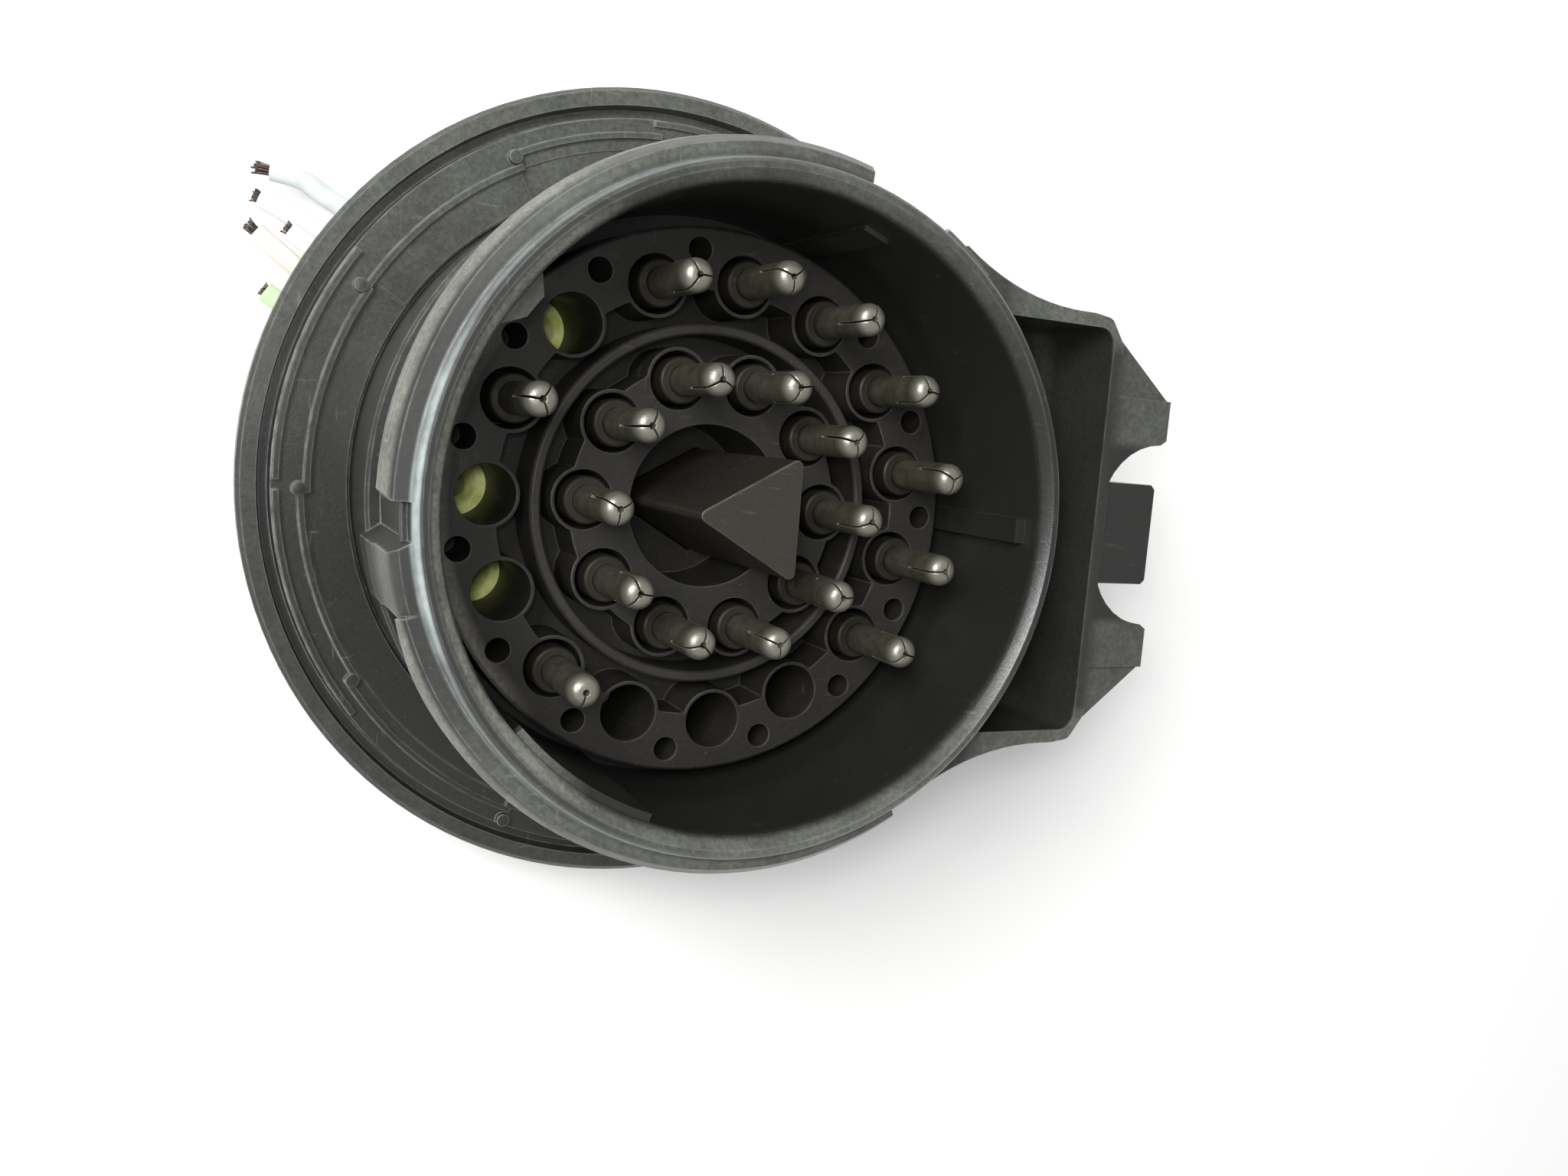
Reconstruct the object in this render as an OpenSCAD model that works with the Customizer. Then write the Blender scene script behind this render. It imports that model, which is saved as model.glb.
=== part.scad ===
// Round 25-way pin connector with a flange, a bayonet rim and a hollow side bracket.
// The axis is Z, the mating side is up and the rear rim stands at z = 0.

/* [Barrel] */
// Height from the rear rim to the mating rim
total_h = 45.5; // [44:0.5:60]
// Outer radius of the front shroud and of the rear collar
barrel_r = 25; // [25:0.5:32]
// Wall of the front shroud
shroud_wall = 1.8; // [1.4:0.1:2.2]
// Wall of the rear collar
collar_wall = 2.3; // [1.8:0.1:2.6]
// Depth of the space for the mating shell, from the rim to the ledge
shroud_depth = 19; // [16:0.5:20]
// Thickness of the ledge that stops the contact carrier
ledge_t = 1.8; // [1.2:0.1:3]
// Width of the rounding on the outer edge of the rim
lip_w = 0.45; // [0.3:0.05:0.6]
// Height of the rounding on the outer edge of the rim
lip_h = 0.9; // [0.4:0.1:1.2]
// Width of the lead-in slope on the inner edge of the rim
lead_w = 0.9; // [0.5:0.1:1]
// Height of the lead-in slope on the inner edge of the rim
lead_h = 1.1; // [0.5:0.1:1.5]
// How far the rear collar reaches up into the flange
collar_sink = 0.6; // [0.3:0.1:1]

/* [Flange] */
// Width of the flange outside the barrel
flange_w = 9.3; // [8.5:0.1:14]
// Distance from the rim down to the face of the flange
flange_depth = 24.9; // [22:0.1:26]
// Thickness of the flange
flange_t = 2.8; // [2:0.1:5]
// Width of the flat band along the flange's edge
band_w = 1.5; // [1:0.1:2.5]
// Width of the moulded groove inside that band
edge_groove_w = 1; // [0.6:0.1:1.4]
// Depth of the moulded groove inside that band
edge_groove_d = 1.3; // [0.5:0.1:1.8]
// Distance from the shroud's wall to the face of the flange
foot_groove_w = 1.1; // [1:0.1:2]
// Depth of the groove round the foot of the shroud
foot_groove_d = 1.6; // [0.5:0.1:2]
// Thickening of the shroud between the flange and the bayonet track
track_out = 1.1; // [0.8:0.1:1.4]
// Distance from the rim down to the floor of the bayonet track
track_depth = 14.5; // [13:0.5:16]
// Height of the thin ridges on the flange
ridge_h = 0.4; // [0.2:0.05:0.8]
// Width of the thin ridges on the flange
ridge_w = 0.5; // [0.3:0.05:0.9]

/* [Bayonet rim] */
// Height of the bayonet ramps outside the barrel
ramp_out = 1.8; // [1.4:0.1:2.4]
// Distance from the rim to the top of the bayonet ramps
ramp_drop = 1.3; // [1.1:0.1:2]
// Height of the bayonet ramps along the axis
ramp_h = 3.9; // [3:0.1:6]
// Height of the stop bosses outside the barrel
stop_out = 1.5; // [1:0.1:1.8]

/* [Side bracket] */
// Distance from the rim down to the open face of the bracket
bracket_drop = 5; // [3:0.1:8]
// Half of the bracket's width
bracket_half_w = 18.3; // [17.5:0.1:22]
// Wall of the bracket's box
bracket_wall = 1.1; // [0.8:0.1:1.6]
// Clear space in the bracket between the barrel and its end wall
pocket_reach = 7.4; // [6:0.1:12]
// Length of the prongs outside the end wall
prong_reach = 5.8; // [4:0.1:9]
// Height of the prongs along the axis
prong_h = 16.5; // [12:0.1:18]
// Distance from the middle of the bracket to the outer side of a prong
prong_y = 11.7; // [11:0.1:14]
// Width of a prong at its end
prong_end_w = 3.9; // [3:0.1:5]
// Half of the width of the tongue between the prongs
tongue_half_w = 4.4; // [3:0.1:4.6]
// How much lower the gussets and the tongue lie than the prongs
tongue_drop = 0.8; // [0.3:0.1:2]
// Radius of the sweep from the barrel into the bracket's side
sweep_r = 21.4; // [16:0.2:26]

/* [Contact carrier] */
// Radial gap between the carrier and the shroud, for the mating shell
mating_gap = 1.4; // [1:0.1:1.8]
// Distance from the rim down to the face of the carrier
face_depth = 13.3; // [11:0.1:15]
// Height of the wider shoulder behind the ledge
shoulder_h = 4.2; // [3:0.1:6]
// Number of cavities in the outer row
outer_n = 15; // [12:1:15]
// Number of cavities in the inner row
inner_n = 10; // [6:1:10]
// Distance from the carrier's edge to the outer row
outer_row_in = 4.1; // [3.6:0.1:4.4]
// Radius of the inner row
inner_row_r = 10.2; // [9.6:0.1:10.4]
// Step from the neck of a cavity out to its mouth
mouth_step = 0.25; // [0.2:0.05:0.4]
// Depth of the widening mouth of a cavity
mouth_d = 3.2; // [2:0.1:5]
// Length of the neck that stops a contact
neck_h = 2; // [1:0.1:3]
// Wall left round the mouth of a cavity, beside the pockets
mouth_wall = 0.3; // [0.25:0.05:0.6]
// Depth of the pockets between the cavities
pocket_d = 4.8; // [3:0.1:6]
// Radius of the small holes along the carrier's edge
vent_r = 0.95; // [0.5:0.05:0.95]
// Distance from the carrier's edge to the middle of the small holes
vent_in = 1.8; // [1.5:0.1:2.2]
// Depth of the small holes
vent_d = 6; // [2:0.5:8]
// Gap between the corners of the key post and the well round it
well_gap = 1; // [0.5:0.1:1.2]
// Depth of the well round the key post
well_d = 8.7; // [6:0.1:9]

/* [Lock ring] */
// Wall of the lock ring between the two rows
lock_wall = 0.9; // [0.6:0.1:1.1]

/* [Key post] */
// Distance from the axis to a corner of the key post
key_r = 5.5; // [4.5:0.1:5.8]
// Radius of the key post's corners
key_corner_r = 0.5; // [0.2:0.1:1]
// Distance from the rim down to the end of the key post
key_drop = 2; // [0.5:0.1:4]
// Depth of the recess that holds the foot of the key post
key_foot = 1.8; // [1:0.1:2]

/* [Contacts] */
// Radius of a contact pin
pin_r = 1.25; // [0.8:0.05:1.4]
// Distance from the rim down to the tips of the pins
tip_drop = 4.3; // [3:0.1:7]
// Step from a pin out to the collar at its foot
pin_collar_w = 0.6; // [0.3:0.05:0.6]
// Height of that collar above the carrier's face
pin_collar_up = 1; // [0.4:0.1:2]
// Step from the collar out to the flange that stops under the neck
pin_stop_w = 0.5; // [0.45:0.05:0.6]
// Thickness of the flange that stops under the neck
pin_stop_t = 1.2; // [0.8:0.1:2]
// Step from a pin out to its crimp barrel
crimp_w = 0.2; // [0.1:0.05:0.4]
// Length of the crimp barrel
crimp_h = 4.7; // [3:0.1:5]
// Length of the rounded tip of a pin
pin_round = 0.9; // [0.5:0.1:1.2]
// Width of the three slits in a tip
slit_w = 0.15; // [0.1:0.05:0.3]
// Depth of the three slits in a tip
slit_d = 3.6; // [2:0.1:5]
// Radius of the bore where the slits meet
tip_bore_r = 0.25; // [0.2:0.05:0.4]

/* [Seal and retainer] */
// Thickness of the wire seal
seal_t = 7; // [5:0.1:8]
// Thickness of the plate behind the seal
retainer_t = 2.5; // [2:0.1:4]
// Width of a snap tab
tab_w = 8; // [5:0.5:10]
// Reach of a snap tab into the collar's wall
tab_reach = 1.7; // [1:0.1:1.8]

/* [Wires and outlet] */
// Radius of a wire over its insulation
wire_r = 0.9; // [0.6:0.05:1.1]
// Direction of the wire outlet in the rear collar
outlet_angle = 148; // [130:1:165]
// Width of the wire outlet
outlet_w = 24; // [20:0.5:26]
// Height of the wire outlet
outlet_h = 9; // [8:0.5:10]

/* [Fits] */
// Running clearance on a radius or on one side
fit = 0.1; // [0.05:0.01:0.15]
// Free clearance round what only passes through
free = 0.15; // [0.1:0.01:0.3]
// Play of a contact's collar in the neck of its cavity
neck_play = 0.2; // [0.2:0.05:0.4]
// Play of a contact's stop flange in its cavity
cavity_play = 0.2; // [0.1:0.05:0.3]
// Play of a wire in its hole in the seal
seal_play = 0.2; // [0.1:0.05:0.3]
// Play of a wire in its hole in the retainer
retainer_play = 0.6; // [0.4:0.05:0.8]

/* [Hidden] */
$fn = 48;

// Radii that follow from the barrel
shroud_in_r = barrel_r - shroud_wall;
rear_bore_r = barrel_r - collar_wall;
carrier_r = shroud_in_r - mating_gap;
shoulder_r = rear_bore_r - fit;
flange_r = barrel_r + flange_w;
groove_out_r = flange_r - band_w;
groove_in_r = groove_out_r - edge_groove_w;
annulus_in_r = barrel_r + foot_groove_w;
annulus_step_r = groove_in_r - 2.6;

// Radii that follow from a contact and its wire
pin_collar_r = pin_r + pin_collar_w;
pin_stop_r = pin_collar_r + pin_stop_w;
crimp_r = pin_r + crimp_w;
neck_r = pin_collar_r + neck_play;
mouth_r = neck_r + mouth_step;
cavity_r = pin_stop_r + cavity_play;
well_r = key_r + well_gap;
seal_hole_r = wire_r + seal_play;
retainer_hole_r = wire_r + retainer_play;

// Heights that follow from the rim
ledge_top = total_h - shroud_depth;
ledge_bottom = ledge_top - ledge_t;
flange_top = total_h - flange_depth;
flange_bottom = flange_top - flange_t;
collar_top = flange_bottom + collar_sink;
track_z = total_h - track_depth;
ramp_top = total_h - ramp_drop;
bracket_top = total_h - bracket_drop;
face_z = total_h - face_depth;
carrier_back = ledge_bottom - shoulder_h;
seal_back = carrier_back - seal_t;
retainer_back = seal_back - retainer_t;
well_floor = face_z - well_d;
tip_z = total_h - tip_drop;
neck_top = face_z - mouth_d;
neck_bottom = neck_top - neck_h;
crimp_end = neck_bottom - pin_stop_t - crimp_h;

// The cavities: the first one of each row stands at this angle and the rest follow clockwise
first_angle = 108;
outer_row_r = carrier_r - outer_row_in;
outer_step = 360 / outer_n;
inner_step = 360 / inner_n;
boss_r = mouth_r + mouth_wall;
lock_mid_r = (inner_row_r + outer_row_r) / 2;
lock_out_r = lock_mid_r + lock_wall / 2;
lock_in_r = lock_mid_r - lock_wall / 2;

function outer_place(k) = let (a = first_angle - outer_step * k)
    [outer_row_r * cos(a), outer_row_r * sin(a)];
function inner_place(k) = let (a = first_angle - inner_step * k)
    [inner_row_r * cos(a), inner_row_r * sin(a)];
cavities = concat([for (k = [0:outer_n - 1]) outer_place(k)],
                  [for (k = [0:inner_n - 1]) inner_place(k)]);

// Cavities that hold a contact: nine in the outer row and all ten in the inner row
pin_places = concat([for (k = [0, 1, 2, 3, 4, 5, 6, 10, 13]) outer_place(k)],
                    [for (k = [0:9]) inner_place(k)]);
// Turn from one contact's slits to the next one's
slit_turn = 37;

// Routes of the long wires from under the retainer to their cut ends, chosen by hand
long_wires = [0, 9, 18, 8, 17, 16];
routes = [
    [[-6, 17, 7.8], [-7.6, 17.5, 6.1], [-9.8, 18.2, 5.4], [-14, 19.5, 5.2],
     [-18.4, 20.6, 4.9], [-22.4, 21.8, 4.6], [-26, 23.3, 4.3], [-29, 25, 3.9], [-31.4, 25.4, 3.4]],
    [[-3.7, 9.9, 7.8], [-5.2, 10.6, 6.1], [-7.2, 11.6, 5.4], [-12, 13.8, 5.2],
     [-17, 16.1, 5], [-22, 18.4, 4.6], [-27.2, 20.8, 4], [-32.2, 23, 3.2]],
    [[-8.7, 6.3, 8.2], [-10, 7.2, 6.9], [-12, 8.5, 6.3], [-16.5, 11.4, 6.2],
     [-21, 14.3, 6.3], [-25.5, 17.3, 6.4], [-30, 20.2, 6.5]],
    [[-16.6, 7.6, 7.8], [-17.9, 8.6, 6.1], [-19.7, 10, 5.1], [-23, 12.6, 4.5],
     [-26.2, 15.1, 4.2], [-29.4, 17.6, 4], [-32.5, 20, 3.8]],
    [[-10.7, 0.3, 7.8], [-12, 1.3, 6.1], [-13.9, 2.6, 5.4], [-18, 5.5, 5.2],
     [-22.5, 8.6, 4.8], [-27, 11.8, 4.4], [-31.6, 15, 4]],
    [[-8.7, -5.6, 7.8], [-10, -4.6, 6.1], [-11.8, -3.2, 5.3], [-16, 0, 5.1],
     [-21, 3.9, 4.7], [-26, 7.7, 4.2], [-30.5, 11.2, 3.8]]];
// Places of the contacts whose wires are cut short
short_wires = [for (k = [0:18]) if (len(search(k, long_wires)) == 0) k];

// Points of a round arc in the plane
function arc(x, y, r, a0, a1, n) = [for (i = [0:n]) let (a = a0 + (a1 - a0) * i / n)
    [x + r * cos(a), y + r * sin(a)]];
function unit(v) = v / norm(v);

// A ring segment with a rectangular section
module ring_bar(r, w, z0, z1, a0, a1) {
    rotate([0, 0, a0]) rotate_extrude(angle = a1 - a0, $fn = 96)
        translate([r - w / 2, z0]) square([w, z1 - z0]);
}

// Housing
module barrel_outside() {
    rotate_extrude($fn = 96) polygon([
        [0, flange_bottom], [barrel_r, flange_bottom], [barrel_r, total_h - lip_h],
        [barrel_r - 0.2 * lip_w, total_h - 0.5 * lip_h],
        [barrel_r - 0.5 * lip_w, total_h - 0.2 * lip_h],
        [barrel_r - lip_w, total_h], [0, total_h]]);
}

module barrel_inside() {
    over = 1;
    hairline = 0.03;
    rotate_extrude($fn = 96) polygon([
        [0, flange_bottom - over], [barrel_r + hairline, flange_bottom - over],
        [barrel_r + hairline, collar_top],
        [rear_bore_r, collar_top], [rear_bore_r, ledge_bottom],
        [carrier_r + free, ledge_bottom], [carrier_r + free, ledge_top],
        [shroud_in_r, ledge_top], [shroud_in_r, total_h - lead_h],
        [shroud_in_r + 0.3 * lead_w, total_h - 0.5 * lead_h],
        [shroud_in_r + lead_w, total_h], [shroud_in_r + lead_w, total_h + over],
        [0, total_h + over]]);
}

module flange_disc() {
    edge = 0.35;
    draft = 0.15;
    inner_drop = 0.3;
    rotate_extrude($fn = 96) polygon([
        [barrel_r - shroud_wall, flange_bottom], [flange_r - edge, flange_bottom],
        [flange_r, flange_bottom + edge], [flange_r, flange_top - edge],
        [flange_r - edge, flange_top], [groove_out_r, flange_top],
        [groove_out_r - draft, flange_top - edge_groove_d],
        [groove_in_r + draft, flange_top - edge_groove_d],
        [groove_in_r, flange_top - inner_drop / 2],
        [annulus_step_r, flange_top - inner_drop / 2], [annulus_step_r, flange_top - inner_drop],
        [annulus_in_r, flange_top - inner_drop],
        [annulus_in_r - draft, flange_top - foot_groove_d],
        [barrel_r - shroud_wall, flange_top - foot_groove_d]]);
}

// Thickened lower part of the shroud, whose top is the floor of the bayonet track
module track_floor() {
    edge = 0.25;
    taper = 0.35;
    root = barrel_r - shroud_wall / 2;
    crest = barrel_r + track_out;
    rotate([0, 0, 50]) rotate_extrude(angle = 260, $fn = 96) polygon([
        [root, flange_top - foot_groove_d - 0.2], [crest - taper, flange_top - foot_groove_d - 0.2],
        [crest, track_z - edge], [crest - edge, track_z], [root, track_z]]);
}

// Thin seam ridges on the flange, each an arc between two small nubs: two directions and how
// far the arc stands outside the seam's radius; a ridge further out is slightly lower
module flange_ridges() {
    z0 = flange_top - 0.6;
    z1 = flange_top + ridge_h - 0.1;
    nub_r = 0.55;
    seam_r = groove_in_r - 2.3;
    for (s = [[94, 118, 0.9], [118, 149.6, -0.2], [149.6, 182, -0.4],
              [182, 213, 0.1], [213, 247, 0.8], [247, 320, 0.4]])
        ring_bar(seam_r + s[2], ridge_w, z0, z1 - 0.1 * abs(s[2]), s[0] - 0.6, s[1] + 0.6);
    for (s = [[118, 0.7], [149.6, 0.28], [182, 0.2], [213, 0.5], [247, 1.8]])
        rotate([0, 0, s[0]]) translate([seam_r + s[1], 0, z0])
            cylinder(r = nub_r, h = z1 + 0.15 - z0, $fn = 24);
    edge_r = groove_in_r - ridge_w / 2 - 0.12;
    ring_bar(edge_r, ridge_w, z0, z1, 145.5, 180.8);
    ring_bar(edge_r, ridge_w, z0, z1, 182.2, 217.5);
    ring_bar(edge_r, ridge_w, z0, z1 - 0.15, 62, 94.6);
}

// Bare raised pad on the flange, from the foot of the shroud to the seam ridge
module flange_pad() {
    pad_in = annulus_in_r + 0.15;
    pad_out = annulus_step_r;
    ring_bar((pad_in + pad_out) / 2, pad_out - pad_in,
             flange_top - 0.8, flange_top - 0.05, 118, 148);
}

module bayonet_ramp(a0, a1) {
    root = barrel_r - shroud_wall / 2;
    crest = barrel_r + ramp_out;
    rotate([0, 0, a0]) rotate_extrude(angle = a1 - a0, $fn = 96) polygon([
        [root, ramp_top], [barrel_r, ramp_top], [barrel_r + 0.6 * ramp_out, ramp_top - 0.3],
        [crest - 0.2, ramp_top - 0.25 * ramp_h], [crest, ramp_top - 0.55 * ramp_h],
        [crest, ramp_top - 0.75 * ramp_h], [barrel_r, ramp_top - ramp_h],
        [root, ramp_top - ramp_h]]);
}

// The ramp over the top of the photo, with a worn slot along its crest
module upper_ramp() {
    slot_d = 0.25;
    slot_h = 0.6;
    end_cut = 0.6;
    end_angle = 180;
    difference() {
        bayonet_ramp(76, end_angle);
        rotate([0, 0, end_angle]) translate([barrel_r + ramp_out, 0, ramp_top - ramp_h - 1])
            cylinder(r = end_cut, h = ramp_h + 2, $fn = 4);
        ring_bar(barrel_r + ramp_out, 2 * slot_d, ramp_top - 0.5 * ramp_h,
                 ramp_top - 0.5 * ramp_h + slot_h, 146, 172);
    }
}

// The ramp over the bottom of the photo, with a lead-in below its start
module lower_ramp() {
    a0 = 196.7;
    lead_angle = 14;
    difference() {
        bayonet_ramp(a0, 299.5);
        rotate([0, 0, a0]) translate([barrel_r - 8, 0, ramp_top - 1.2]) rotate([-lead_angle, 0, 0])
            translate([0, -2, -8]) cube([15, 16, 8]);
    }
}

// A stop boss in plan, with a flank from its foot up to where its crest starts and a steep
// far end, cut to a rounded profile along the axis
module stop_boss(foot, crest_start) {
    root = barrel_r - shroud_wall / 2;
    crest = barrel_r + stop_out;
    low = track_z - 0.3;
    intersection() {
        translate([0, 0, low]) linear_extrude(ramp_top + 0.2 - low)
            polygon(concat(arc(0, 0, root, foot[0], foot[1], 6),
                           arc(0, 0, crest, foot[1], crest_start, 6)));
        rotate_extrude($fn = 96) polygon([
            [root - 1, low - 1], [crest + 1, low - 1], [crest - 0.1, track_z + 6],
            [crest - 0.1, ramp_top - 1.6], [crest - 0.7, ramp_top - 0.4],
            [barrel_r, ramp_top + 0.1], [root - 1, ramp_top + 0.1]]);
    }
}

// Small ledge on the wall between the upper ramp and the left stop
module wall_ledge() {
    ledge_h = 0.8;
    ring_bar(barrel_r, 0.8, ramp_top - 1.4 - ledge_h, ramp_top - 1.4, 179.5, 186);
}

// Side bracket, drawn as one half and mirrored
box_end = barrel_r + pocket_reach;
wall_end = box_end + bracket_wall;
prong_end = wall_end + prong_reach;
prong_in_y = prong_y - prong_end_w;
box_corner_x = box_end - 2.2;
sweep_x = box_end - 3.4;

module both_sides() {
    children();
    mirror([0, 1, 0]) children();
}

module box_outline() {
    corner = 0.9;
    polygon(concat(
        [[0, 0], [0, bracket_half_w]],
        arc(sweep_x, bracket_half_w + sweep_r, sweep_r, 236, 270, 10),
        [[box_corner_x, bracket_half_w]],
        arc(box_end - corner, bracket_half_w - corner - 0.2, corner, 80, 30, 3),
        [[wall_end, prong_y + 4.2], [wall_end, 0]]));
}

module pocket_outline() {
    corner = 1.4;
    side = bracket_half_w - bracket_wall;
    difference() {
        polygon(concat([[0, -0.01], [0, side]],
                       arc(box_end - corner, side - corner, corner, 90, 0, 5),
                       [[box_end, -0.01]]));
        circle(r = barrel_r - shroud_wall / 2, $fn = 96);
    }
}

module prong_outline() {
    lean = 0.5;
    polygon(concat(
        [[box_end + 0.1, tongue_half_w + 0.6], [wall_end, tongue_half_w + 0.6]],
        arc(prong_end - 0.4, prong_in_y - 5.9, 6, 157, 92, 6),
        [[prong_end, prong_in_y + lean], [prong_end, prong_y], [box_end + 0.1, prong_y]]));
}

module gusset_outline() {
    polygon([[box_end + 0.1, prong_y - 0.5], [prong_end - 0.05, prong_y - 0.5],
             [prong_end - 0.05, prong_y], [box_end + 0.1, bracket_half_w - 1.1]]);
}

module tongue_outline() {
    edge = 0.4;
    polygon([[box_end + 0.1, 0], [prong_end, 0], [prong_end, tongue_half_w - edge],
             [prong_end - edge, tongue_half_w], [box_end + 0.1, tongue_half_w]]);
}

module bracket() {
    low = bracket_top - prong_h;
    floor_z = flange_top + 0.4;
    both_sides() {
        difference() {
            translate([0, 0, flange_bottom]) linear_extrude(bracket_top - flange_bottom)
                box_outline();
            translate([0, 0, floor_z]) linear_extrude(bracket_top - floor_z + 1)
                pocket_outline();
        }
        translate([0, 0, low]) linear_extrude(prong_h) prong_outline();
        translate([0, 0, low]) linear_extrude(prong_h - tongue_drop / 2) gusset_outline();
        translate([0, 0, low]) linear_extrude(prong_h - tongue_drop) tongue_outline();
    }
}

// Ribs, a block and a land inside the shroud that guide the mating shell
module shroud_ribs() {
    out = shroud_in_r + shroud_wall / 2;
    // The two guide ribs: direction, width, distance of the top from the rim and height
    for (s = [[0, 1.9, 2.3, 0.9], [69, 2.2, 4, 0.4]])
        rotate([0, 0, s[0]]) translate([shroud_in_r - s[3], -s[1] / 2, ledge_top - 0.1])
            cube([s[3] + shroud_wall / 2, s[1], total_h - s[2] - ledge_top]);
    // The guide block, which narrows from the wall to the carrier's edge
    block_drop = 2;
    translate([0, 0, ledge_top - 0.1]) linear_extrude(total_h - block_drop - ledge_top + 0.1)
        polygon(concat(arc(0, 0, out, 136.4, 152.6, 6),
                       arc(0, 0, carrier_r + free, 145.8, 141.2, 3)));
    shallow_in = shroud_in_r - 0.6;
    ring_bar((shallow_in + out) / 2, out - shallow_in, ledge_top - 0.1, total_h - 1.4, 221, 251);
}

module tab_windows() {
    for (k = [0:3])
        rotate([0, 0, outlet_angle + 45 + 90 * k])
            translate([rear_bore_r - 1, -tab_w / 2 - free, retainer_back + fit])
                cube([collar_wall + 2, tab_w + 2 * free, retainer_t - 2 * fit]);
}

module wire_outlet() {
    corner = 2.5;
    rotate([0, 0, outlet_angle]) translate([rear_bore_r - 5, 0, 0]) {
        translate([0, -outlet_w / 2, -1]) cube([collar_wall + 8, outlet_w, outlet_h + 1 - corner]);
        translate([0, corner - outlet_w / 2, -1])
            cube([collar_wall + 8, outlet_w - 2 * corner, outlet_h + 1]);
        for (s = [-1, 1])
            translate([0, s * (outlet_w / 2 - corner), outlet_h - corner]) rotate([0, 90, 0])
                cylinder(r = corner, h = collar_wall + 8, $fn = 32);
    }
}

// Keyway in the rear bore for the carrier's rib
keyway_w = 2;
keyway_out = 0.8;

module keyway(z0) {
    translate([rear_bore_r - 1, -keyway_w / 2, z0])
        cube([1 + keyway_out, keyway_w, ledge_bottom - z0]);
}

module housing() {
    color("#55534a") {
        difference() {
            union() {
                barrel_outside();
                track_floor();
                flange_disc();
                flange_ridges();
                flange_pad();
                upper_ramp();
                lower_ramp();
                stop_boss([184.8, 196.9], 187.6);
                stop_boss([62, 49], 58.5);
                wall_ledge();
                bracket();
            }
            barrel_inside();
            keyway(collar_top - 1);
        }
        shroud_ribs();
    }
}

// Rear collar of the same moulding, from the rear rim up into the flange
module rear_shell() {
    edge = 0.3;
    color("#55534a") difference() {
        rotate_extrude($fn = 96) polygon([
            [rear_bore_r, 0], [barrel_r - edge, 0], [barrel_r, edge], [barrel_r, collar_top],
            [rear_bore_r, collar_top]]);
        tab_windows();
        wire_outlet();
        keyway(-1);
    }
}

// Contact carrier
module cavity() {
    over = 1;
    slope = mouth_step / mouth_d;
    translate([0, 0, neck_top])
        cylinder(r1 = neck_r, r2 = mouth_r + slope * over, h = mouth_d + over);
    translate([0, 0, neck_bottom - 1]) cylinder(r = neck_r, h = neck_h + 2);
    translate([0, 0, carrier_back - 1]) cylinder(r = cavity_r, h = neck_bottom - carrier_back + 1);
}

// Pockets on both sides of the lock ring, clear of the walls round the cavities
module pockets_outline() {
    reach = 3;
    difference() {
        circle(r = lock_mid_r + reach, $fn = 96);
        circle(r = lock_mid_r - reach + 0.4, $fn = 96);
        for (c = cavities) translate(c) circle(r = boss_r);
    }
    difference() {
        circle(r = lock_out_r + fit, $fn = 96);
        circle(r = lock_in_r - fit, $fn = 96);
    }
}

function key_corners(grow) = [for (k = [0:2]) for (p = arc(0, 0, key_corner_r + grow, -60, 60, 4))
    let (a = 180 + 120 * k, x = key_r - 2 * key_corner_r + p[0])
        [x * cos(a) - p[1] * sin(a), x * sin(a) + p[1] * cos(a)]];

module contact_carrier() {
    edge = 0.25;
    color("#46423c") difference() {
        union() {
            rotate_extrude($fn = 96) polygon([
                [0, carrier_back], [shoulder_r, carrier_back], [shoulder_r, ledge_bottom],
                [carrier_r, ledge_bottom], [carrier_r, face_z - edge],
                [carrier_r - edge, face_z], [0, face_z]]);
            translate([shoulder_r - 1, fit - keyway_w / 2, carrier_back])
                cube([1 + keyway_out, keyway_w - 2 * fit, shoulder_h]);
        }
        for (c = cavities) translate(c) cavity();
        for (k = [0:outer_n - 1])
            rotate([0, 0, first_angle - outer_step * (k + 0.5)])
                translate([carrier_r - vent_in, 0, face_z - vent_d])
                    cylinder(r = vent_r, h = vent_d + 1, $fn = 24);
        translate([0, 0, face_z - pocket_d]) linear_extrude(pocket_d + 1) pockets_outline();
        translate([0, 0, well_floor]) cylinder(r = well_r, h = well_d + 1, $fn = 64);
        translate([0, 0, well_floor - key_foot]) linear_extrude(key_foot + 1)
            polygon(key_corners(fit));
    }
}

module lock_ring() {
    edge = 0.2;
    color("#5b5750") rotate_extrude($fn = 96) polygon([
        [lock_in_r, face_z - pocket_d], [lock_out_r, face_z - pocket_d],
        [lock_out_r, face_z - edge], [lock_out_r - edge, face_z], [lock_in_r + edge, face_z],
        [lock_in_r, face_z - edge]]);
}

module key_post() {
    color("#6c6a5c") translate([0, 0, well_floor - key_foot])
        linear_extrude(total_h - key_drop - well_floor + key_foot) polygon(key_corners(0));
}

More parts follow.
